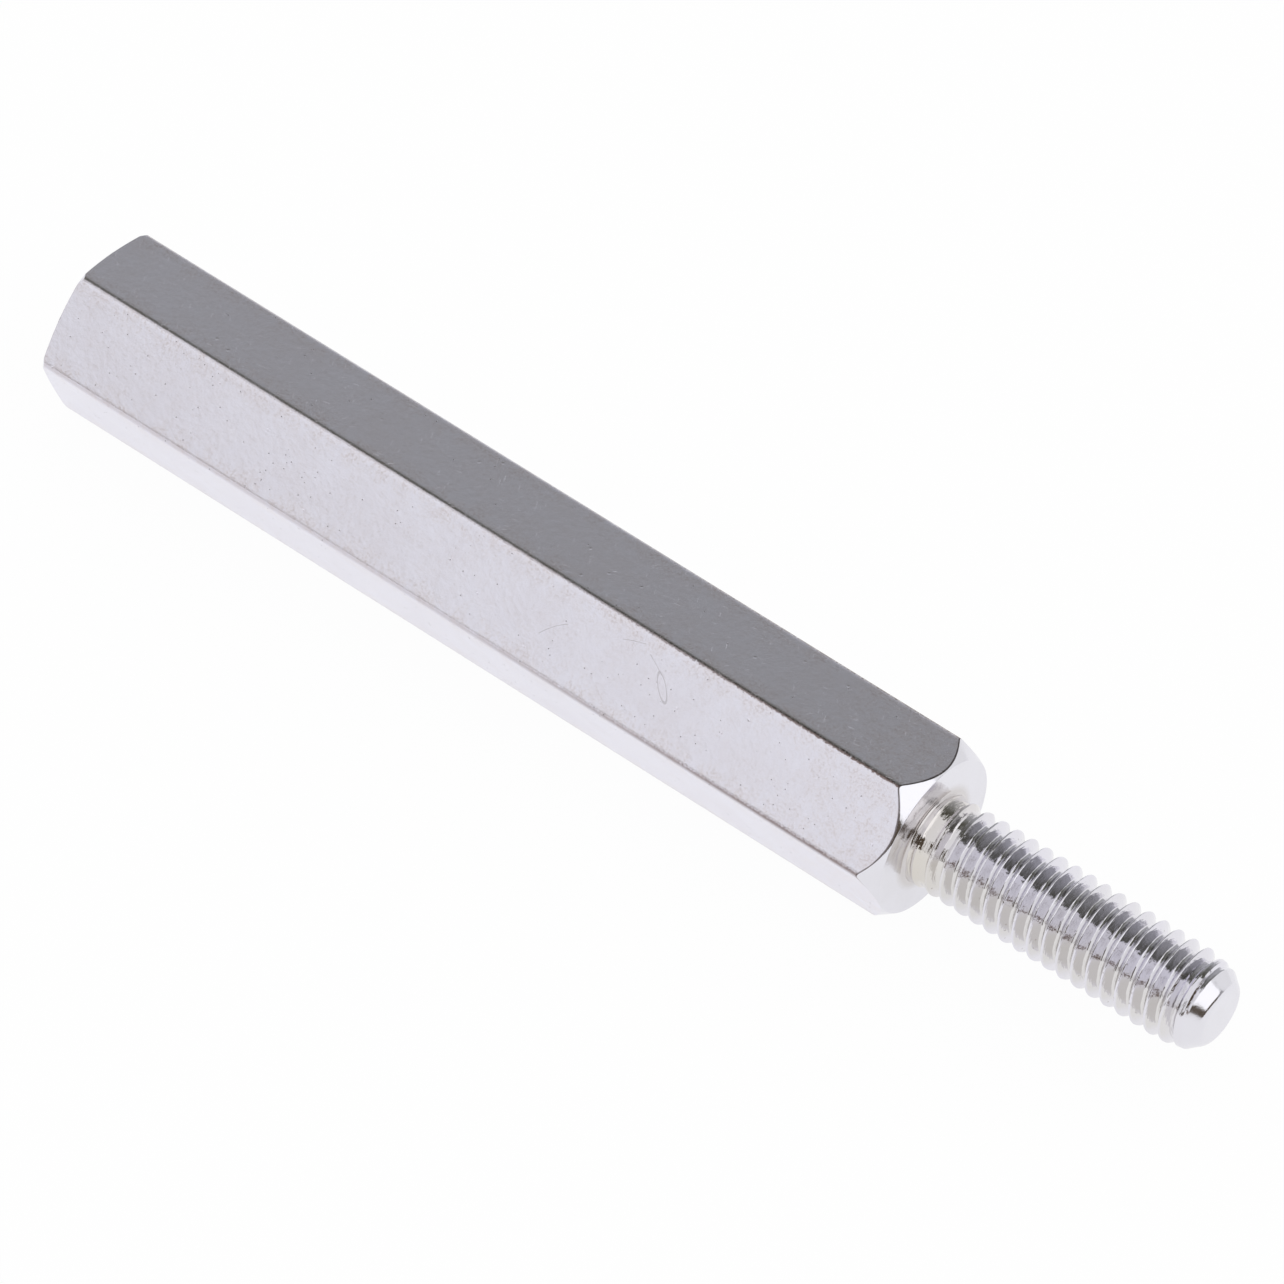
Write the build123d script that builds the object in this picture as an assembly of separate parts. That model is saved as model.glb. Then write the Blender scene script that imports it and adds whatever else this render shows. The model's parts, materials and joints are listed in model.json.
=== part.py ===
from build123d import *
import math
import os

# Hex standoff with an M3 x 0.5 stud at one end and a tapped hole at the other, turned as one piece
# from hexagonal brass bar and then plated. Sizes are in millimetres and angles in degrees.
# The axis runs along X, from the tapped end to the tip of the stud. The part lies on one flat of
# the hexagon, with the origin in that flat's plane, under the middle of the overall length.

# Hexagonal bar
hex_sides = 6
across_flats = 4.9
hex_length = 30.0
bar_corner_radius = 0.07

# Turned chamfer at each end of the hexagon: how far inside the flats the end face stops, and the
# slope of the cone that runs back from there
stud_end_face_inset = 0.03
stud_end_chamfer_angle = 55.0
tapped_end_face_inset = 0.02
tapped_end_chamfer_angle = 13.0

# Stud, over the crests of its thread, with a chamfered tip
stud_length = 9.85
stud_diameter = 2.88
stud_tip_chamfer = 0.45
stud_tip_chamfer_angle = 51.0
stud_tip_edge_radius = 0.06
stud_root_radius = 0.12

# Tapped hole, at the size of its tap drill, with a countersunk mouth
tap_drill_diameter = 2.5
tap_drill_depth = 12.0
drill_point_angle = 118.0
countersink_width = 0.4
countersink_angle = 90.0

# Every cut runs this far past the stock
cut_overrun = 1.0

overall_length = hex_length + stud_length
corner_radius = across_flats / (2 * math.cos(math.pi / hex_sides))


def chamfer_run(radial_depth, angle_from_face):
    """Length along the axis of a turned chamfer that slopes back from an end face."""
    return radial_depth * math.tan(math.radians(angle_from_face))


def cone_run(radial_depth, included_angle):
    """Length along the axis of a drilled or countersunk cone."""
    return radial_depth / math.tan(math.radians(included_angle / 2))


def turned(half_profile):
    """Solid that a closed half profile of (place along the axis, radius) sweeps round the X axis."""
    outline = Polyline(*half_profile, close=True)
    return revolve(Plane.XZ * make_face(outline), Axis.X)


def hexagonal_bar():
    """Length of drawn bar with two flats level and its long corners just broken."""
    section = RegularPolygon(across_flats / 2, hex_sides, major_radius=False)
    section = fillet(section.vertices(), bar_corner_radius)
    return extrude(Plane.YZ * section, hex_length)


def turning_envelope():
    """Drum with a cone at each end. The flats of the bar meet the cones in shallow arcs."""
    drum_radius = corner_radius + cut_overrun
    tapped_face_radius = across_flats / 2 - tapped_end_face_inset
    stud_face_radius = across_flats / 2 - stud_end_face_inset
    tapped_run = chamfer_run(drum_radius - tapped_face_radius, tapped_end_chamfer_angle)
    stud_run = chamfer_run(drum_radius - stud_face_radius, stud_end_chamfer_angle)
    return turned([
        (0, 0),
        (0, tapped_face_radius),
        (tapped_run, drum_radius),
        (hex_length - stud_run, drum_radius),
        (hex_length, stud_face_radius),
        (hex_length, 0),
    ])


def stud():
    """Stud that starts at the shoulder and ends in a chamfer with softened edges."""
    radius = stud_diameter / 2
    chamfer_start = overall_length - chamfer_run(stud_tip_chamfer, stud_tip_chamfer_angle)
    blank = turned([
        (hex_length, 0),
        (hex_length, radius),
        (chamfer_start, radius),
        (overall_length, radius - stud_tip_chamfer),
        (overall_length, 0),
    ])
    tip_edges = blank.edges().filter_by(GeomType.CIRCLE).sort_by(Axis.X)[-2:]
    return fillet(tip_edges, stud_tip_edge_radius)


def tapped_hole():
    """Countersink, drilled wall and drill point of the blind hole, as one cutting shape."""
    drill_radius = tap_drill_diameter / 2
    countersink_run = cone_run(countersink_width, countersink_angle)
    mouth_slope = countersink_width / countersink_run
    return turned([
        (-cut_overrun, 0),
        (-cut_overrun, drill_radius + (cut_overrun + countersink_run) * mouth_slope),
        (countersink_run, drill_radius),
        (tap_drill_depth, drill_radius),
        (tap_drill_depth + cone_run(drill_radius, drill_point_angle), 0),
    ])


def hex_standoff():
    """The whole standoff, with the tapped end at the origin and the axis along X."""
    body = (hexagonal_bar() & turning_envelope()) + stud()
    shoulder_edges = body.edges().filter_by_position(Axis.X, hex_length, hex_length)
    root_edge = shoulder_edges.sort_by(SortBy.RADIUS)[0]
    return fillet(root_edge, stud_root_radius) - tapped_hole()


resting_place = Pos(-overall_length / 2, 0, across_flats / 2)

os.makedirs("parts", exist_ok=True)
export_step(resting_place * hex_standoff(), "parts/hex_standoff.step")
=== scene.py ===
import json
import math

import bpy
from mathutils import Matrix, Vector, noise


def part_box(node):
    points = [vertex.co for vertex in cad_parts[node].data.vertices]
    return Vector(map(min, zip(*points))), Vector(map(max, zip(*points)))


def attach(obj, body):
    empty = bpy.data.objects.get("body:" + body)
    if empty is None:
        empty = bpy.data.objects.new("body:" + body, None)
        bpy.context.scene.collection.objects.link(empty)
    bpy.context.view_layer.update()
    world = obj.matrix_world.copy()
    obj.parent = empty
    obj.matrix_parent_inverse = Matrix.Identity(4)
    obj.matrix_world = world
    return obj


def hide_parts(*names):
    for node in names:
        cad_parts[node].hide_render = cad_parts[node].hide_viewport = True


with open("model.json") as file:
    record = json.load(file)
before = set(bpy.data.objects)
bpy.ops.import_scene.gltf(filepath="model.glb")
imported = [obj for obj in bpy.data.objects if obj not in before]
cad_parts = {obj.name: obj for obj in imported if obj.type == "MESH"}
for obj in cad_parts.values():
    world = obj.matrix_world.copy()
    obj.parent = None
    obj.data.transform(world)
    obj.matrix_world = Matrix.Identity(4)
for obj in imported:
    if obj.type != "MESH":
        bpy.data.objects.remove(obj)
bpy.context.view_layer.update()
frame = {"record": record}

# Hex standoff, turned from hexagonal brass bar and nickel plated. It is modelled in millimetres with
# its axis on X, then raised to lie on one flat and shrunk into metres. Angles are in degrees.
METRES_PER_MM = 0.001
low, high = (corner / METRES_PER_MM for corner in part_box("hex_standoff"))
mounts = {mount["name"]: mount for mount in frame["record"]["mounts"]}


def slope(angle):
    """Rise over run of a line at this angle."""
    return math.tan(math.radians(angle))


# Sizes that the frame gives
tapped_end = low.x
stud_tip = high.x
across_flats = high.z - low.z
shoulder = mounts["shoulder"]["pos_m"][0] / METRES_PER_MM
axis_height = mounts["stud"]["pos_m"][2] / METRES_PER_MM
stud_radius = mounts["stud"]["dims"]["r_mm"]
drill_radius = mounts["tapped_hole"]["dims"]["r_mm"]
drilled_wall = mounts["tapped_hole"]["dims"]["length_mm"]
hex_length = shoulder - tapped_end

# Hexagonal bar: how far the rounding of a corner reaches into the flats, and how tight it is
hex_sides = 6
half_sector = math.pi / hex_sides
corner_radius = across_flats / (2 * math.cos(half_sector))
corner_blend = 0.3
corner_tightness = 0.84
corner_segments = 10

# Turned ends: how far inside the flats each end face stops, the slope of the cone behind it, the break
# of the long corners at the tapped end, and the softening of the edges
stud_face_inset = 0.03
stud_face_radius = across_flats / 2 - stud_face_inset
stud_end_slope = slope(55)
tapped_face_inset = 0.02
tapped_face_radius = across_flats / 2 - tapped_face_inset
tapped_end_slope = slope(13)
corner_break = 0.11
corner_break_radius = corner_radius - corner_break
corner_break_slope = slope(50)
face_edge_softening = 0.012
stud_arc_softening = 0.026
tapped_arc_softening = 0.015

# Thread, right-handed, at the pitch and depth of M3
pitch = 0.5
thread_depth = 0.307
flank_slope = slope(30)
crest_flat = 0.036
crest_rounding = 0.016
root_rounding = 0.03
rod_end_trim = 0.03

# Thread of the stud, with the neck that it runs out into, and the size of the tears by their fineness
crest_shortfall = 0.01
crest_radius = stud_radius - crest_shortfall
first_crest_beyond_shoulder = 1.159
lead_in_turns = 4
spare_turns = 3
run_out_length = 1.2
neck_radius = 1.375
neck_length = 0.1
neck_taper_length = 2.6
root_fillet = 0.12
root_sink = 0.006
die_marks = ((2.4, 0.012), (7.0, 0.005))
noise_starts = ((0.0, 0.0, 0.0), (31.7, 0.0, 0.0), (0.0, 57.3, 0.0))

# Tip of the stud, where the crests are worn and the roots filled
tip_chamfer = 0.52
tip_slope = slope(51)
tip_softening = 0.13
tip_wear_length = 1.15
tip_wear_end = 0.45
tip_crest_wear = 0.15
tip_root_fill = 0.13

# Tapped hole
countersink_depth = 0.4
drill_point_slope = slope(59)
tap_radius = 1.52
tapped_length = 9.0
tap_lead = 1.5

# Every cutting shape runs this far past the stock
overrun = 1.0

# Fineness of the meshes: steps to a turn, segments of a rounding, and the gap that is welded shut
turned_steps = 192
stud_thread_steps = 128
tap_thread_steps = 52
stud_flank_cuts = 2
edge_segments = 3
arc_segments = 2
tip_segments = 5
fillet_segments = 6
weld = 0.0002

# Tests and shading: how far a normal leans along the axis on a flat at most and on a cone at least, the
# angle up to which edges are shaded smooth, and the weight of large faces in the shading
most_flat_lean = 0.01
least_cone_lean = 0.2
smooth_angle = 32
large_face_weight = 100


# Finishes

# Colours of the plating where it is sound, in its lighter and its darker patches
drawn_light, drawn_dark = (0.84, 0.83, 0.92), (0.835, 0.82, 0.905)
turned_light, turned_dark = (0.8, 0.792, 0.845), (0.787, 0.778, 0.825)
thread_light, thread_dark = (0.79, 0.777, 0.845), (0.775, 0.762, 0.81)
bore_light, bore_dark = (0.66, 0.63, 0.6), (0.58, 0.52, 0.44)

# Colours of the plating where it is thin, worn or stained, and of painted shade and painted dark
# reflections
edge_rose = (0.82, 0.775, 0.81)
edge_sand = (0.55, 0.46, 0.45)
# Painted dark reflection along the long corners
corner_reflection_brown = (0.17, 0.115, 0.1)
# Painted dark reflection where the flats meet the cone
arc_reflection_brown = (0.07, 0.045, 0.04)
pinhole_grey = (0.24, 0.22, 0.23)
hair_grey = (0.33, 0.31, 0.31)
# Painted shade, partly a stain, on the shoulder round the stud's neck
root_shade_and_stain_brown = (0.52, 0.47, 0.42)
# Painted shade low in the grooves of the thread
groove_shade_beige = (0.69, 0.67, 0.627)
neck_brass = (0.66, 0.61, 0.52)
thread_pinhole_brown = (0.3, 0.26, 0.22)


def put(tree, kind, settings=None, **inputs):
    """Adds a shader node, and sets or links its inputs by name or, as i0, i1 and so on, by number."""
    made = tree.nodes.new(kind)
    for name, value in (settings or {}).items():
        setattr(made, name, value)
    for name, value in inputs.items():
        number = name[1:]
        socket = made.inputs[int(number) if number.isdigit() else name]
        if isinstance(value, bpy.types.NodeSocket):
            tree.links.new(value, socket)
        else:
            socket.default_value = value
    return made


def calc(tree, operation, *values):
    """Result of a Math node."""
    inputs = {f"i{number}": value for number, value in enumerate(values)}
    return put(tree, "ShaderNodeMath", {"operation": operation}, **inputs).outputs[0]


def times(tree, first, second):
    """Product of two values."""
    return calc(tree, "MULTIPLY", first, second)


def ramp(tree, value, span, ends=(0.0, 1.0)):
    """Smooth step over a span of a value, from the first end to the second."""
    return put(
        tree, "ShaderNodeMapRange", {"interpolation_type": "SMOOTHSTEP"},
        i0=value, i1=span[0], i2=span[1], i3=ends[0], i4=ends[1],
    ).outputs[0]


def noise_texture(tree, place, scale, **settings):
    """Value of a Noise node, with its other settings by name."""
    return put(tree, "ShaderNodeTexNoise", Vector=place, Scale=scale, **settings).outputs[0]


def blend_color(tree, share, first, second):
    """Mixes two colours, each given as a colour or as a socket."""
    first, second = (
        color if isinstance(color, bpy.types.NodeSocket) else (*color, 1) for color in (first, second)
    )
    return put(tree, "ShaderNodeMix", {"data_type": "RGBA"}, i0=share, i6=first, i7=second).outputs[2]


def tint(tree, color, mask, strength, over):
    """Lays a second colour over the first where the mask is, at a given strength."""
    return blend_color(tree, times(tree, mask, strength), color, over)


def sink(tree, height, mask, microns):
    """Lowers a height in thousandths of a millimetre where the mask is."""
    return calc(tree, "SUBTRACT", height, times(tree, mask, microns))


def group_tree(name, inputs, outputs):
    """Starts a node group, and gives its tree, its input values and its outputs to link to."""
    tree = bpy.data.node_groups.new(name, "ShaderNodeTree")
    for label, value in inputs.items():
        socket = tree.interface.new_socket(label, in_out="INPUT", socket_type="NodeSocketFloat")
        socket.default_value = value
    for label in outputs:
        tree.interface.new_socket(label, in_out="OUTPUT", socket_type="NodeSocketFloat")
    return tree, tree.nodes.new("NodeGroupInput").outputs, tree.nodes.new("NodeGroupOutput").inputs


def bar_place(tree):
    """Place on the standoff in millimetres, from a point on its axis."""
    place = put(tree, "ShaderNodeTexCoord").outputs["Object"]
    return put(
        tree, "ShaderNodeMapping",
        Vector=place, Location=(0, 0, -axis_height), Scale=(1 / METRES_PER_MM,) * 3,
    ).outputs[0]


def grain_group():
    """Texture of the plating: fine grain in height, and slow mottling from 0 to 1."""
    inputs = {"Fineness": 10.0, "Raggedness": 0.5}
    tree, given, result = group_tree("plating_grain", inputs, ["Height", "Mottle"])
    place = bar_place(tree)
    fine = noise_texture(tree, place, given["Fineness"], Detail=4.0, Roughness=given["Raggedness"])
    slow = noise_texture(tree, place, 0.55, Detail=6.0, Roughness=0.6, Distortion=0.4)
    tree.links.new(fine, result["Height"])
    tree.links.new(ramp(tree, slow, (0.36, 0.66)), result["Mottle"])
    return tree


def pinholes_group():
    """Pinholes in the plating, in patches, at so many places to a millimetre, of which a share is used."""
    inputs = {"Density": 5.0, "Share": 0.1, "Radius": 0.14}
    tree, given, result = group_tree("pinholes", inputs, ["Pinholes"])
    place = bar_place(tree)
    cells = put(tree, "ShaderNodeTexVoronoi", Vector=place, Scale=given["Density"]).outputs
    patches = noise_texture(tree, place, 0.4, Detail=3.0)
    share = times(tree, given["Share"], ramp(tree, patches, (0.35, 0.7), (0.25, 1.8)))
    chance = put(tree, "ShaderNodeSeparateColor", Color=cells["Color"]).outputs[0]
    floor_radius = times(tree, given["Radius"], 0.4)
    hole = ramp(tree, cells["Distance"], (floor_radius, given["Radius"]), (1.0, 0.0))
    used = calc(tree, "LESS_THAN", chance, share)
    tree.links.new(times(tree, used, hole), result["Pinholes"])
    return tree


def scratches_group():
    """Short handling scratches in three directions, fewer as the limit rises."""
    tree, given, result = group_tree("scratches", {"Limit": 0.72}, ["Scratches"])
    place = bar_place(tree)
    lines = []
    for turn, seed in ((0.25, 3.1), (-1.1, 7.7), (1.0, 5.2)):
        lengthwise = put(
            tree, "ShaderNodeMapping", {"vector_type": "TEXTURE"},
            Vector=place, Location=(seed, seed, seed), Rotation=(0, 0, turn), Scale=(0.55, 0.022, 0.06),
        ).outputs[0]
        streaks = noise_texture(tree, lengthwise, 1.0, Detail=1.0)
        lines.append(ramp(tree, streaks, (given["Limit"], 0.84)))
    crossed = calc(tree, "MAXIMUM", lines[0], calc(tree, "MAXIMUM", lines[1], lines[2]))
    tree.links.new(crossed, result["Scratches"])
    return tree


def edges_group():
    """Where a point lies: its distance in millimetres from the nearest long corner, from the arcs at the
    stud's end and from the axis, and how far it is above the axis and past the shoulder."""
    outputs = ["Corner", "Stud Arc", "Radius", "Height", "Past Shoulder"]
    tree, _, result = group_tree("edge_distance", {}, outputs)
    x, y, z = put(tree, "ShaderNodeSeparateXYZ", Vector=bar_place(tree)).outputs
    radius = calc(tree, "SQRT", calc(tree, "ADD", times(tree, y, y), times(tree, z, z)))
    off_corner = calc(tree, "PINGPONG", calc(tree, "ARCTAN2", z, y), half_sector)
    off_middle = calc(tree, "SINE", calc(tree, "SUBTRACT", half_sector, off_corner))
    half_flat = across_flats / 2 * math.tan(half_sector)
    corner = calc(tree, "SUBTRACT", half_flat, times(tree, radius, off_middle))
    cone = times(tree, calc(tree, "SUBTRACT", radius, stud_face_radius), stud_end_slope)
    stud_arc = calc(tree, "SUBTRACT", calc(tree, "SUBTRACT", shoulder, x), cone)
    past_shoulder = calc(tree, "SUBTRACT", x, shoulder)
    for label, value in zip(outputs, (corner, stud_arc, radius, z, past_shoulder)):
        tree.links.new(value, result[label])
    return tree


effects = {
    "grain": grain_group(),
    "pinholes": pinholes_group(),
    "scratches": scratches_group(),
    "edges": edges_group(),
}


def effect(tree, name, **inputs):
    """Places one of the shared effects in a material and gives its outputs."""
    return put(tree, "ShaderNodeGroup", {"node_tree": effects[name]}, **inputs).outputs


def start_metal(name):
    """A new plated metal: its material, its node tree and its shader."""
    material = bpy.data.materials.new(name)
    material.use_nodes = True
    shader = material.node_tree.nodes["Principled BSDF"]
    shader.inputs["Metallic"].default_value = 1
    return material, material.node_tree, shader


def finish_metal(tree, shader, color, roughness, height):
    """Gives the shader its colour, its roughness, and a bump in thousandths of a millimetre."""
    bump = put(tree, "ShaderNodeBump", Height=height, Distance=METRES_PER_MM * 0.001)
    tree.links.new(color, shader.inputs["Base Color"])
    tree.links.new(roughness, shader.inputs["Roughness"])
    tree.links.new(bump.outputs[0], shader.inputs["Normal"])


# Hair-thin marks on the flat that faces the front and up: centre, half axes and turn of an ellipse in
# millimetres along and across that flat, and the degrees between which it is drawn
hair_marks = (
    ((-0.323, -1.574), (2.26, 2.26), 0.0, 122.2, 146.5),
    ((-0.668, -2.84), (4.1, 4.1), 0.0, 56.4, 64.4),
    ((1.87, 0.22), (0.43, 0.12), -50.7, -180.0, 180.0),
    ((1.734, -2.763), (3.9, 3.9), 0.0, 102.9, 113.6),
)
hair_width = 0.016
hair_flat_turn = -60
hair_flat_depth = across_flats * 0.49


def hair_mark(tree, flat_place, centre, axes, turn, start, end):
    """Mask of one curved hair mark."""
    ring = put(
        tree, "ShaderNodeMapping", {"vector_type": "TEXTURE"},
        Vector=flat_place, Location=(*centre, 0), Rotation=(0, 0, math.radians(turn)), Scale=(*axes, 1),
    ).outputs[0]
    along, across, _ = put(tree, "ShaderNodeSeparateXYZ", Vector=ring).outputs
    squares = (times(tree, side, side) for side in (along, across))
    reach = calc(tree, "SQRT", calc(tree, "ADD", *squares))
    off_line = calc(tree, "ABSOLUTE", calc(tree, "SUBTRACT", reach, 1.0))
    width = hair_width / min(axes)
    line = ramp(tree, off_line, (width / 2, width), (1.0, 0.0))
    angle = calc(tree, "ARCTAN2", across, along)
    after = calc(tree, "GREATER_THAN", angle, math.radians(start))
    before = calc(tree, "LESS_THAN", angle, math.radians(end))
    return times(tree, line, times(tree, after, before))


def hair_marks_mask(tree):
    """Mask of all the hair marks, on the one flat that has them."""
    flat_place = put(
        tree, "ShaderNodeMapping",
        Vector=bar_place(tree), Rotation=(math.radians(hair_flat_turn), 0, 0),
    ).outputs[0]
    depth = put(tree, "ShaderNodeSeparateXYZ", Vector=flat_place).outputs[2]
    on_flat = calc(tree, "GREATER_THAN", depth, hair_flat_depth)
    lines, *others = (hair_mark(tree, flat_place, *mark) for mark in hair_marks)
    for line in others:
        lines = calc(tree, "MAXIMUM", lines, line)
    return times(tree, on_flat, lines)


def drawn_nickel():
    """Satin plating on the drawn flats: pinholes, dents, hair marks, warm tones along the edges, and
    painted dark reflections along the corners and the arcs.
    """
    material, tree, shader = start_metal("drawn_nickel")
    edges = effect(tree, "edges")
    grain = effect(tree, "grain", Fineness=5.0, Raggedness=0.62)
    place = bar_place(tree)
    flecks = noise_texture(tree, place, 1.8, Detail=7.0, Roughness=0.72)
    sand = noise_texture(tree, place, 13.0, Detail=3.0, Roughness=0.7)
    above = ramp(tree, edges["Height"], (-0.06, 0.06), (0.3, 1.0))

    # Marks: fewer pinholes on the top flat, more along the corners
    below_top = ramp(tree, edges["Height"], (across_flats * 0.47, across_flats * 0.49), (1.0, 0.3))
    pinhole_share = times(tree, below_top, ramp(tree, edges["Corner"], (0.0, 0.35), (0.14, 0.08)))
    pinholes = effect(tree, "pinholes", Density=8.0, Share=pinhole_share, Radius=0.24)[0]
    dents = effect(tree, "pinholes", Density=2.0, Share=0.18, Radius=0.12)[0]
    scratches = effect(tree, "scratches", Limit=0.73)[0]
    hairs = hair_marks_mask(tree)

    # Thin plating along the corners and towards the stud, with sandy flecks in it
    near_corner = ramp(tree, edges["Corner"], (0.05, 0.8), (1.0, 0.28))
    near_end = ramp(tree, edges["Stud Arc"], (0.0, 7.0), (0.85, 0.0))
    warm = times(tree, calc(tree, "MAXIMUM", near_corner, near_end), ramp(tree, flecks, (0.36, 0.62)))
    sandy = times(tree, times(tree, warm, above), ramp(tree, sand, (0.46, 0.64)))

    # Painted dark reflections: a ragged brown line where the flats meet the cone, and one along the
    # corners, stronger near the stud; both fade on the lower side
    ragged_arc = calc(tree, "ADD", edges["Stud Arc"], times(tree, flecks, 0.06))
    arc_reflection_line = times(
        tree,
        ramp(tree, ragged_arc, (0.06, 0.095), (1.0, 0.0)),
        ramp(tree, edges["Height"], (-0.6, 0.4)),
    )
    raggedness = times(tree, calc(tree, "SUBTRACT", sand, 0.5), 0.2)
    ragged_corner = calc(tree, "ADD", edges["Corner"], raggedness)
    corner_width = ramp(tree, edges["Height"], (0.0, 1.5), (0.17, 0.07))
    to_stud = ramp(tree, edges["Stud Arc"], (0.0, 18.0), (1.0, 0.3))
    # Painted dark reflection along the corners, weaker on the lower side
    corner_reflection_line = times(
        tree,
        ramp(tree, ragged_corner, (0.03, corner_width), (1.0, 0.0)),
        times(tree, to_stud, above),
    )

    color = blend_color(tree, grain["Mottle"], drawn_light, drawn_dark)
    color = tint(tree, color, warm, 0.5, edge_rose)
    color = tint(tree, color, sandy, 0.42, edge_sand)
    # Painted dark reflection along the corners
    color = tint(tree, color, corner_reflection_line, 0.92, corner_reflection_brown)
    # Painted dark reflection along the arcs at the stud's end
    color = tint(tree, color, arc_reflection_line, 0.85, arc_reflection_brown)
    color = tint(tree, color, pinholes, 0.7, pinhole_grey)
    color = tint(tree, color, hairs, 0.35, hair_grey)
    satin = ramp(tree, grain["Mottle"], (0.0, 1.0), (0.215, 0.245))
    roughness = calc(tree, "ADD", satin, times(tree, pinholes, 0.2))
    height = times(tree, grain["Height"], 6.0)
    for marks, microns in ((pinholes, 3.0), (dents, 9.0), (scratches, 3.5), (hairs, 1.5)):
        height = sink(tree, height, marks, microns)
    finish_metal(tree, shader, color, roughness, height)
    return material


def turned_nickel():
    """Bright plating on the turned faces and cones, with brown painted shade round the stud's root, partly
    a stain.
    """
    material, tree, shader = start_metal("turned_nickel")
    edges = effect(tree, "edges")
    grain = effect(tree, "grain", Fineness=3.0, Raggedness=0.4)
    scratches = effect(tree, "scratches", Limit=0.76)[0]
    # Brown on the shoulder round the neck: painted shade where the neck meets the shoulder, partly a stain
    at_root = times(
        tree,
        ramp(tree, edges["Past Shoulder"], (-0.1, -0.02)),
        ramp(tree, edges["Past Shoulder"], (0.3, 0.5), (1.0, 0.0)),
    )
    root_shade_and_stain = times(tree, at_root, ramp(tree, edges["Radius"], (1.42, 1.75), (0.5, 0.0)))
    color = blend_color(tree, grain["Mottle"], turned_light, turned_dark)
    color = blend_color(tree, root_shade_and_stain, color, root_shade_and_stain_brown)
    roughness = ramp(tree, grain["Mottle"], (0.0, 1.0), (0.13, 0.19))
    height = sink(tree, times(tree, grain["Height"], 9.0), scratches, 1.5)
    finish_metal(tree, shader, color, roughness, height)
    return material


def thread_nickel():
    """Bright plating over the fine tears that the die leaves, with beige painted shade low in the grooves,
    and beige at the neck.
    """
    material, tree, shader = start_metal("thread_nickel")
    edges = effect(tree, "edges")
    grain = effect(tree, "grain", Fineness=10.0, Raggedness=0.45)
    pinholes = effect(tree, "pinholes", Density=6.0, Share=0.12, Radius=0.25)[0]
    along_thread = put(
        tree, "ShaderNodeMapping", Vector=bar_place(tree), Scale=(26.0, 2.4, 2.4)
    ).outputs[0]
    fine_tears = noise_texture(tree, along_thread, 1.0, Detail=2.0, Roughness=0.5)
    # Beige painted shade low in the grooves, strongest in a band of heights about the axis and fading near
    # the tip
    low_side = times(
        tree,
        ramp(tree, edges["Height"], (0.3, 0.8), (1.0, 0.1)),
        ramp(tree, edges["Height"], (-0.9, -0.4), (0.1, 1.0)),
    )
    groove_shade = times(tree, low_side, ramp(tree, edges["Radius"], (1.36, 1.43), (0.6, 0.0)))
    groove_shade = times(tree, groove_shade, ramp(tree, edges["Past Shoulder"], (8.7, 9.3), (1.0, 0.0)))
    neck = ramp(tree, edges["Past Shoulder"], (0.2, 1.5), (0.5, 0.0))
    color = blend_color(tree, grain["Mottle"], thread_light, thread_dark)
    color = blend_color(tree, groove_shade, color, groove_shade_beige)
    color = blend_color(tree, neck, color, neck_brass)
    color = tint(tree, color, pinholes, 0.5, thread_pinhole_brown)
    roughness = ramp(tree, grain["Mottle"], (0.0, 1.0), (0.06, 0.1))
    height = calc(tree, "ADD", times(tree, grain["Height"], 5.0), times(tree, fine_tears, 7.5))
    finish_metal(tree, shader, color, roughness, sink(tree, height, pinholes, 2.5))
    return material


def bore_nickel():
    """Thin, duller plating inside the tapped hole."""
    material, tree, shader = start_metal("bore_nickel")
    grain = effect(tree, "grain", Fineness=7.0, Raggedness=0.5)
    color = blend_color(tree, grain["Mottle"], bore_light, bore_dark)
    roughness = ramp(tree, grain["Mottle"], (0.0, 1.0), (0.24, 0.34))
    finish_metal(tree, shader, color, roughness, times(tree, grain["Height"], 6.0))
    return material


finishes = {
    "drawn": drawn_nickel(),
    "turned": turned_nickel(),
    "thread": thread_nickel(),
    "bore": bore_nickel(),
}


# Modelling

def limited(value, least=0, most=1):
    """A value kept between two limits."""
    return min(max(value, least), most)


def only(piece):
    """Leaves one object selected and active, in object mode."""
    bpy.ops.object.select_all(action="DESELECT")
    piece.select_set(True)
    bpy.context.view_layer.objects.active = piece


def select_parts(piece, kind, wanted):
    """Selects the vertices or edges of a mesh that pass a test, and leaves it in edit mode."""
    bpy.ops.object.mode_set(mode="EDIT")
    bpy.ops.mesh.select_mode(type=kind)
    bpy.ops.mesh.select_all(action="DESELECT")
    bpy.ops.object.mode_set(mode="OBJECT")
    for part in piece.data.vertices if kind == "VERT" else piece.data.edges:
        part.select = wanted(part)
    bpy.ops.object.mode_set(mode="EDIT")


def edge_run(piece, edge):
    """Vector from one end of an edge to the other."""
    start, end = (piece.data.vertices[index].co for index in edge.vertices)
    return end - start


def draw_profile(name, finish, points):
    """Starts a piece as a line of extruded vertices at (place along the axis, radius), in edit mode."""
    bpy.ops.object.select_all(action="DESELECT")
    bpy.ops.mesh.primitive_plane_add(size=pitch)
    piece = bpy.context.object
    piece.name = name
    piece.data.materials.append(finishes[finish])
    bpy.ops.object.mode_set(mode="EDIT")
    bpy.ops.mesh.select_mode(type="VERT")
    bpy.ops.mesh.select_all(action="SELECT")
    bpy.ops.mesh.merge(type="CENTER")
    bpy.ops.transform.translate(value=(points[0][0], 0, points[0][1]))
    for (x, radius), (next_x, next_radius) in zip(points, points[1:]):
        step = (next_x - x, 0, next_radius - radius)
        bpy.ops.mesh.extrude_region_move(TRANSFORM_OT_translate={"value": step})
    return piece


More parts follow.
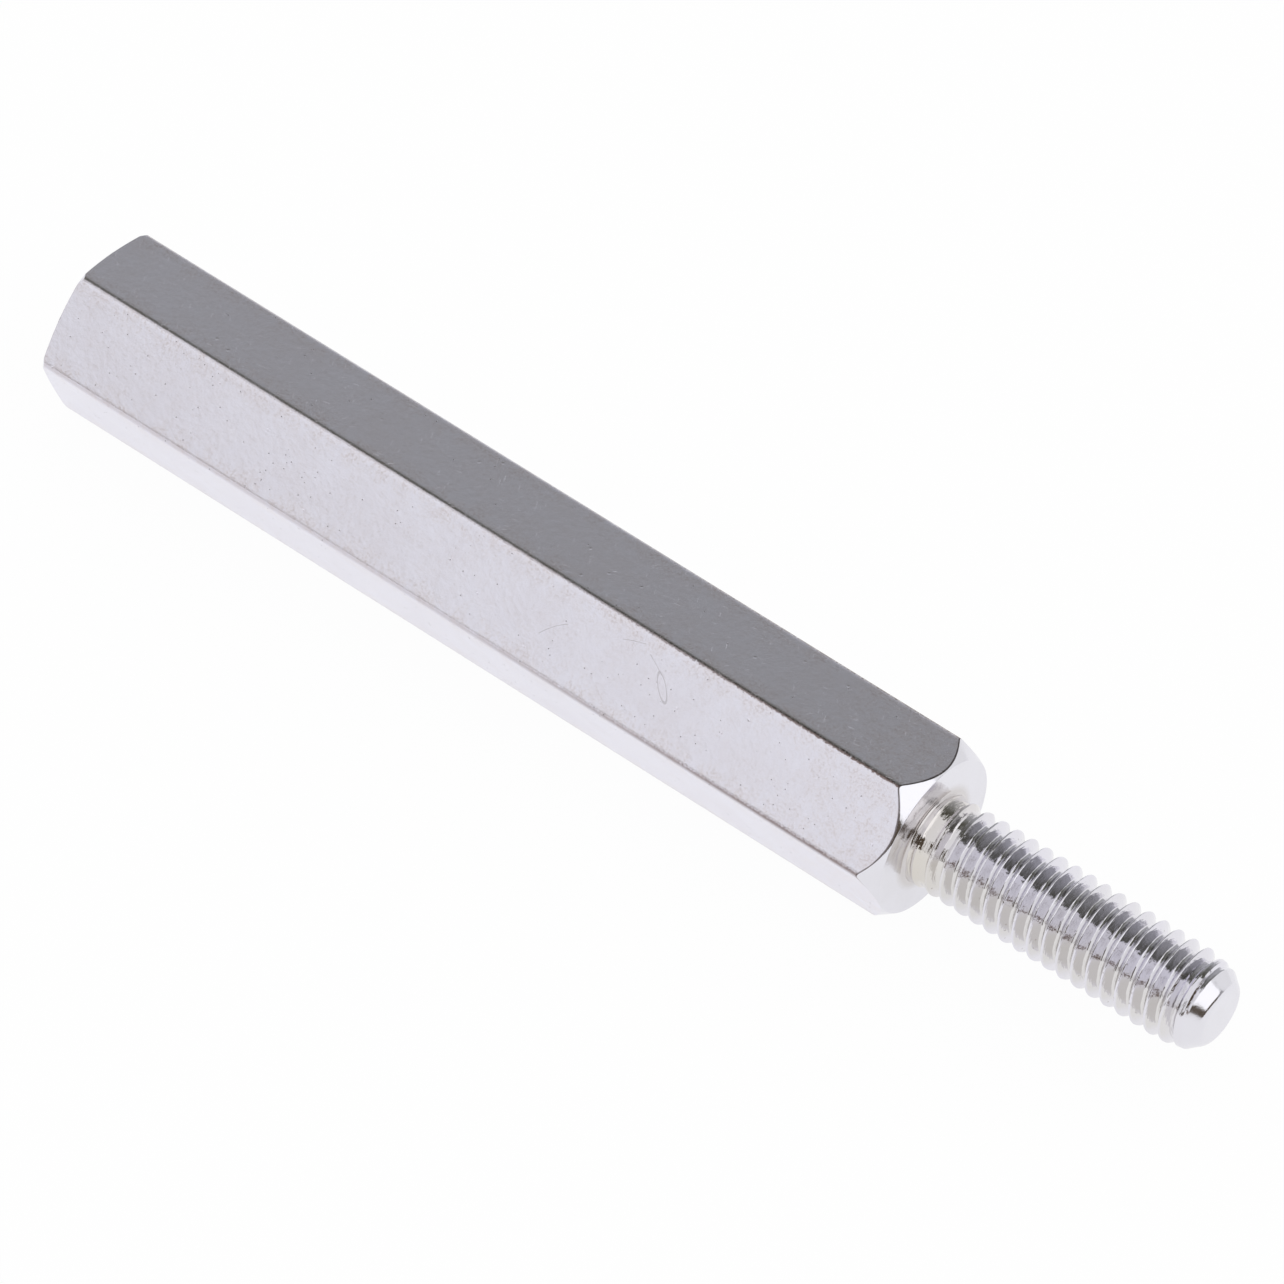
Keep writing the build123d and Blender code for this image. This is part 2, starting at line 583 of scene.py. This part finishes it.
def soften_corners(piece, corners, offset, segments):
    """Rounds the profile's vertices that lie at the given corners."""
    select_parts(piece, "VERT", lambda vertex: any(
        math.dist((vertex.co.x, vertex.co.z), corner) < weld for corner in corners
    ))
    bpy.ops.mesh.bevel(affect="VERTICES", offset=offset, segments=segments)


def close_solid():
    """Welds what is being edited and turns its faces outwards."""
    bpy.ops.mesh.select_all(action="SELECT")
    bpy.ops.mesh.remove_doubles(threshold=weld)
    bpy.ops.mesh.normals_make_consistent(inside=False)
    bpy.ops.object.mode_set(mode="OBJECT")


def spin_solid(piece):
    """Spins a profile that starts and ends on the axis into a turned solid."""
    bpy.ops.mesh.select_all(action="SELECT")
    bpy.ops.mesh.spin(steps=turned_steps, angle=math.tau, center=(0, 0, 0), axis=(1, 0, 0))
    close_solid()
    return piece


def threaded_rod(name, finish, start, turns, steps, crest, depth, flank_cuts=0):
    """Winds one pitch of a rounded 60 degree thread into a right-hand rod with closed ends."""
    root = crest - depth
    run = depth * flank_slope
    half_root = (pitch - crest_flat - 2 * run) / 2
    roots = [(start + half_root, root), (start + pitch - half_root, root)]
    crests = [(start + half_root + run, crest), (start + half_root + run + crest_flat, crest)]
    profile = [(start, root), roots[0], *crests, roots[1], (start + pitch, root)]
    rod = draw_profile(name, finish, profile)
    soften_corners(rod, crests, crest_rounding, edge_segments)
    soften_corners(rod, roots, root_rounding, edge_segments)
    select_parts(rod, "EDGE", lambda edge: edge_run(rod, edge).length > depth / 2)
    if flank_cuts:
        bpy.ops.mesh.subdivide(number_cuts=flank_cuts)
    bpy.ops.object.mode_set(mode="OBJECT")
    winding = rod.modifiers.new("winding", "SCREW")
    winding.axis = "X"
    winding.screw_offset = pitch
    winding.iterations = turns
    winding.steps = winding.render_steps = steps
    bpy.ops.object.modifier_apply(modifier=winding.name)
    bpy.ops.object.mode_set(mode="EDIT")
    bpy.ops.mesh.select_all(action="SELECT")
    bpy.ops.mesh.remove_doubles(threshold=weld)
    for pitches, outwards in ((1 + rod_end_trim, -1), (turns - rod_end_trim, 1)):
        bpy.ops.mesh.select_all(action="SELECT")
        bpy.ops.mesh.bisect(
            plane_co=(start + pitches * pitch, 0, 0),
            plane_no=(outwards, 0, 0),
            use_fill=True,
            clear_outer=True,
        )
    close_solid()
    return rod


def combine(piece, tool, operation):
    """Applies a boolean with another solid, which is then removed."""
    only(piece)
    cut = piece.modifiers.new(operation.lower(), "BOOLEAN")
    cut.operation = operation
    cut.solver = "EXACT"
    cut.material_mode = "TRANSFER"
    cut.object = tool
    bpy.ops.object.modifier_apply(modifier=cut.name)
    bpy.data.objects.remove(tool)
    return piece


def hexagonal_bar():
    """Drawn bar with two flats level and its long corners rounded into the flats."""
    bpy.ops.object.select_all(action="DESELECT")
    bpy.ops.mesh.primitive_cylinder_add(
        vertices=hex_sides,
        radius=corner_radius,
        depth=hex_length + 2 * overrun,
        location=((tapped_end + shoulder) / 2, 0, 0),
        rotation=(0, math.pi / 2, 0),
    )
    bar = bpy.context.object
    bar.name = "hexagonal_bar"
    bar.data.materials.append(finishes["drawn"])
    bpy.ops.object.transform_apply(location=True, rotation=True, scale=True)
    select_parts(bar, "EDGE", lambda edge: abs(edge_run(bar, edge).x) > hex_length / 2)
    bpy.ops.mesh.bevel(offset=corner_blend, segments=corner_segments, profile=corner_tightness)
    bpy.ops.object.mode_set(mode="OBJECT")
    return bar


def turned_ends():
    """Drum whose end faces and cones are what the lathe leaves of the bar."""
    drum_radius = corner_radius + overrun
    break_depth = tapped_end + (corner_break_radius - tapped_face_radius) * tapped_end_slope
    face_edges = [(tapped_end, tapped_face_radius), (shoulder, stud_face_radius)]
    drum = draw_profile(
        "turned_ends",
        "turned",
        [
            (tapped_end, 0),
            face_edges[0],
            (break_depth, corner_break_radius),
            (break_depth + (drum_radius - corner_break_radius) * corner_break_slope, drum_radius),
            (shoulder - (drum_radius - stud_face_radius) * stud_end_slope, drum_radius),
            face_edges[1],
            (shoulder, 0),
        ],
    )
    soften_corners(drum, face_edges, face_edge_softening, edge_segments)
    return spin_solid(drum)


def soften_arcs(body, at_end, softening):
    """Breaks the edges at one end, where the cone meets the flats and the rounded corners."""
    only(body)
    bpy.ops.object.mode_set(mode="EDIT")
    close_solid()
    faces_of = {edge.key: [] for edge in body.data.edges}
    for face in body.data.polygons:
        for key in face.edge_keys:
            faces_of[key].append(face)
    lean = {key: sorted(abs(face.normal.x) for face in faces) for key, faces in faces_of.items()}
    select_parts(body, "EDGE", lambda edge: (
        lean[edge.key][0] < most_flat_lean
        and lean[edge.key][-1] > least_cone_lean
        and abs(body.data.vertices[edge.vertices[0]].co.x - at_end) < overrun
    ))
    bpy.ops.mesh.bevel(offset=softening, segments=arc_segments, clamp_overlap=False)
    close_solid()


def stud_limits(x):
    """Smallest and largest radius that the stud's surface has at a place along the axis."""
    beyond = x - shoulder
    root_radius = crest_radius - thread_depth
    run_out = limited((beyond - neck_length) / (run_out_length - neck_length))
    taper = limited(beyond / neck_taper_length)
    largest = neck_radius + (crest_radius - neck_radius) * taper
    smallest = largest - (largest - root_radius) * run_out
    wear = limited((x - stud_tip + tip_wear_length) / (tip_wear_length - tip_wear_end))
    return smallest + tip_root_fill * wear, largest - tip_crest_wear * wear


def tears(place):
    """Shift of a point of the thread where the die tore it, which fades out beyond the stud."""
    margin = overrun / 2
    inside = min(place.x - shoulder + margin, stud_tip + margin - place.x)
    shift = Vector()
    for fineness, size in die_marks:
        spots = (place * fineness + Vector(start) for start in noise_starts)
        shift += size * Vector([noise.noise(spot) for spot in spots])
    return shift * limited(inside / margin)


def stud():
    """Threaded stud: the thread runs out into a plain neck at the shoulder and ends in a chamfered tip."""
    turns = math.ceil((stud_tip - shoulder) / pitch) + spare_turns
    start = shoulder + first_crest_beyond_shoulder - (lead_in_turns + 0.5) * pitch
    rod = threaded_rod(
        "stud", "thread", start, turns, stud_thread_steps, crest_radius, thread_depth, stud_flank_cuts
    )
    for vertex in rod.data.vertices:
        radius = math.hypot(vertex.co.y, vertex.co.z)
        smallest, largest = stud_limits(vertex.co.x)
        share = limited(radius, smallest, largest) / radius
        turned = Vector((vertex.co.x, vertex.co.y * share, vertex.co.z * share))
        vertex.co = turned + tears(vertex.co)
    inside = shoulder - overrun / 2
    clear_radius = stud_radius + overrun
    tip_edge = (stud_tip, stud_radius - tip_chamfer)
    blank = draw_profile(
        "stud_blank",
        "turned",
        [
            (inside, 0),
            (inside, clear_radius),
            (stud_tip - (tip_chamfer + overrun) * tip_slope, clear_radius),
            tip_edge,
            (stud_tip, 0),
        ],
    )
    soften_corners(blank, [tip_edge], tip_softening, tip_segments)
    return combine(rod, spin_solid(blank), "INTERSECT")


def root_ring():
    """Fillet that joins the neck of the stud to the shoulder."""
    inside = shoulder - overrun / 2
    foot = (shoulder, neck_radius - root_sink)
    ring = draw_profile(
        "root_ring",
        "turned",
        [
            (inside, 0),
            (inside, neck_radius + overrun / 2),
            (shoulder - root_sink, neck_radius + overrun / 2),
            (shoulder, neck_radius + root_fillet),
            foot,
            (shoulder + root_fillet, neck_radius - root_sink),
            (shoulder + root_fillet, 0),
        ],
    )
    soften_corners(ring, [foot], root_fillet, fillet_segments)
    return spin_solid(ring)


def drill():
    """Tap drill with its point, and the countersink at the mouth."""
    mouth = tapped_end + countersink_depth
    bottom = mouth + drilled_wall
    return spin_solid(
        draw_profile(
            "drill",
            "bore",
            [
                (tapped_end - overrun, 0),
                (tapped_end - overrun, drill_radius + countersink_depth + overrun),
                (mouth, drill_radius),
                (bottom, drill_radius),
                (bottom + drill_radius / drill_point_slope, 0),
            ],
        )
    )


def tap():
    """Tap that cuts the thread of the hole, with its tapered lead."""
    turns = math.ceil((tapped_length + tap_lead + 3 * overrun) / pitch)
    depth = tap_radius - drill_radius + root_rounding
    start = tapped_end - overrun - pitch
    rod = threaded_rod("tap", "bore", start, turns, tap_thread_steps, tap_radius, depth)
    lead = draw_profile(
        "tap_lead",
        "bore",
        [
            (tapped_end - overrun / 2, 0),
            (tapped_end - overrun / 2, tap_radius + overrun),
            (tapped_end + tapped_length, tap_radius + root_rounding),
            (tapped_end + tapped_length + tap_lead, drill_radius - root_rounding / 2),
            (tapped_end + tapped_length + tap_lead, 0),
        ],
    )
    return combine(rod, spin_solid(lead), "INTERSECT")


def hex_standoff():
    """The whole standoff as one closed mesh, lying on a flat of the hexagon, in metres."""
    body = combine(hexagonal_bar(), turned_ends(), "INTERSECT")
    soften_arcs(body, shoulder, stud_arc_softening)
    soften_arcs(body, tapped_end, tapped_arc_softening)
    combine(body, root_ring(), "UNION")
    combine(body, stud(), "UNION")
    combine(body, drill(), "DIFFERENCE")
    combine(body, tap(), "DIFFERENCE")
    body.name = body.data.name = "standoff"
    only(body)
    bpy.ops.object.mode_set(mode="EDIT")
    close_solid()
    bpy.ops.object.shade_smooth_by_angle(angle=math.radians(smooth_angle))
    even = body.modifiers.new("even_normals", "WEIGHTED_NORMAL")
    even.weight = large_face_weight
    even.keep_sharp = True
    bpy.ops.object.modifier_apply(modifier=even.name)
    body.location = (0, 0, axis_height * METRES_PER_MM)
    body.scale = (METRES_PER_MM,) * 3
    bpy.ops.object.transform_apply(location=True, rotation=True, scale=True)
    return body


standoff = hex_standoff()
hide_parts("hex_standoff")
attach(standoff, "root")


# Camera, at the photograph's angle, in metres
camera_azimuth = math.radians(31.543)
camera_elevation = math.radians(41.507)
camera_roll = math.radians(9.814)
camera_distance = 0.29601
camera_target = Vector((-0.00052, 0.00043, axis_height * METRES_PER_MM))
camera_lens = 297.4
camera_sensor = 36
camera_near_limit = 0.01

# Studio, in metres: the share of plain white in the floor as the camera and as the metal sees it, how
# far off the flat and the curved cards stand, and where the colour of a graded card changes over
floor_size = 4
floor_grey = 0.96
floor_roughness = 0.9
floor_white_seen = 0.96
floor_white_mirrored = 0.84
card_distance = 0.5
band_distance = 0.6
band_facets = 90
graded_span = (-0.25, 0.35)
world_strength = 0.88


def photo_camera():
    """Camera that looks at the middle of the standoff through a long lens, a little rolled."""
    turn = (
        Matrix.Rotation(camera_azimuth, 4, "Z")
        @ Matrix.Rotation(math.pi / 2 - camera_elevation, 4, "X")
        @ Matrix.Rotation(camera_roll, 4, "Z")
    )
    draw_back = Matrix.Translation((0, 0, camera_distance))
    bpy.ops.object.camera_add()
    camera = bpy.context.object
    camera.name = "photo_camera"
    camera.matrix_world = Matrix.Translation(camera_target) @ turn @ draw_back
    camera.data.lens = camera_lens
    camera.data.sensor_width = camera_sensor
    camera.data.clip_start = camera_near_limit
    return camera


def white_floor():
    """Pale floor that reads as white to the camera, and nearly so in the metal, and keeps the shadow."""
    bpy.ops.object.select_all(action="DESELECT")
    bpy.ops.mesh.primitive_plane_add(size=floor_size)
    piece = bpy.context.object
    piece.name = "floor"
    material = bpy.data.materials.new("floor_paper")
    material.use_nodes = True
    tree = material.node_tree
    paper = tree.nodes["Principled BSDF"]
    paper.inputs["Base Color"].default_value = (floor_grey, floor_grey, floor_grey, 1)
    paper.inputs["Roughness"].default_value = floor_roughness
    path = put(tree, "ShaderNodeLightPath").outputs
    mirrored = calc(tree, "MAXIMUM", path["Is Glossy Ray"], path["Is Transmission Ray"])
    share = calc(
        tree, "MAXIMUM",
        times(tree, path["Is Camera Ray"], floor_white_seen), times(tree, mirrored, floor_white_mirrored),
    )
    white = put(tree, "ShaderNodeEmission", Color=(1, 1, 1, 1), Strength=1.0).outputs[0]
    mixed = put(tree, "ShaderNodeMixShader", i0=share, i1=paper.outputs[0], i2=white)
    tree.links.new(mixed.outputs[0], tree.nodes["Material Output"].inputs["Surface"])
    piece.data.materials.append(material)


def card_paint(name, color, strength=1.0, top_color=None):
    """Glow of a studio card, even or graded to another colour at its top edge."""
    material = bpy.data.materials.new(name)
    material.use_nodes = True
    tree = material.node_tree
    tree.nodes.remove(tree.nodes["Principled BSDF"])
    paint = put(tree, "ShaderNodeEmission", Color=(*color, 1), Strength=strength)
    if top_color:
        place = put(tree, "ShaderNodeTexCoord").outputs["Object"]
        rise = put(tree, "ShaderNodeSeparateXYZ", Vector=place).outputs[1]
        graded = blend_color(tree, ramp(tree, rise, graded_span), color, top_color)
        tree.links.new(graded, paint.inputs["Color"])
    tree.links.new(paint.outputs[0], tree.nodes["Material Output"].inputs["Surface"])
    return material


def hang_card(piece, material):
    """Makes a card show only in reflections."""
    piece.data.materials.append(material)
    piece.visible_camera = False
    piece.visible_diffuse = False


def card(name, azimuth, elevation, width, height, material):
    """A flat card that faces the standoff from one direction."""
    level = math.cos(math.radians(elevation))
    direction = Vector((
        level * math.sin(math.radians(azimuth)),
        -level * math.cos(math.radians(azimuth)),
        math.sin(math.radians(elevation)),
    ))
    bpy.ops.object.select_all(action="DESELECT")
    bpy.ops.mesh.primitive_plane_add(size=1, location=direction * card_distance)
    piece = bpy.context.object
    piece.name = name
    piece.rotation_euler = direction.to_track_quat("Z", "Y").to_euler()
    piece.scale = (width, height, 1)
    hang_card(piece, material)


def curved_card(name, start_azimuth, end_azimuth, top, material):
    """A band of card that stands on the floor round part of the standoff."""
    bpy.ops.object.select_all(action="DESELECT")
    bpy.ops.mesh.primitive_cylinder_add(
        vertices=band_facets,
        radius=band_distance,
        depth=top,
        end_fill_type="NOTHING",
        location=(0, 0, top / 2),
    )
    piece = bpy.context.object
    piece.name = name
    bpy.ops.object.mode_set(mode="EDIT")
    bpy.ops.mesh.select_mode(type="FACE")
    bpy.ops.mesh.select_all(action="DESELECT")
    bpy.ops.object.mode_set(mode="OBJECT")
    for face in piece.data.polygons:
        azimuth = math.degrees(math.atan2(face.center.x, -face.center.y))
        face.select = (azimuth - start_azimuth) % 360 > end_azimuth - start_azimuth
    bpy.ops.object.mode_set(mode="EDIT")
    bpy.ops.mesh.delete(type="FACE")
    bpy.ops.object.mode_set(mode="OBJECT")
    hang_card(piece, material)


def soft_white_world():
    """Even white light from all round."""
    world = bpy.data.worlds.new("studio")
    world.use_nodes = True
    sky = world.node_tree.nodes["Background"]
    sky.inputs["Color"].default_value = (1, 1, 1, 1)
    sky.inputs["Strength"].default_value = world_strength
    bpy.context.scene.world = world


bpy.context.scene.camera = photo_camera()
white_floor()

# What the metal mirrors: a grey panel behind, a softbox at the side, dark bands low down, and the thin
# seam and rib of the tent
card(
    "back_panel", azimuth=220, elevation=45, width=0.77, height=0.86,
    material=card_paint("panel_grey", (0.415, 0.42, 0.425), top_color=(0.085, 0.084, 0.065)),
)
card(
    "side_softbox", azimuth=86, elevation=41, width=0.5, height=0.44,
    material=card_paint("softbox_white", (1, 1, 1), strength=1.22),
)
curved_card(
    "side_band", start_azimuth=12, end_azimuth=110, top=0.39,
    material=card_paint("band_brown", (0.09, 0.07, 0.05)),
)
curved_card(
    "far_band", start_azimuth=110, end_azimuth=130, top=0.37,
    material=card_paint("far_band_grey", (0.36, 0.355, 0.36)),
)
curved_card(
    "front_band", start_azimuth=296, end_azimuth=337, top=0.08,
    material=card_paint("front_band_brown", (0.2, 0.15, 0.125)),
)
card(
    "tent_seam", azimuth=306, elevation=26, width=0.018, height=0.42,
    material=card_paint("seam_brown", (0.16, 0.13, 0.11)),
)
card(
    "tent_rib", azimuth=318, elevation=26, width=0.012, height=0.42,
    material=card_paint("rib_grey", (0.3, 0.28, 0.27)),
)
soft_white_world()
bpy.context.scene.view_settings.view_transform = "Standard"
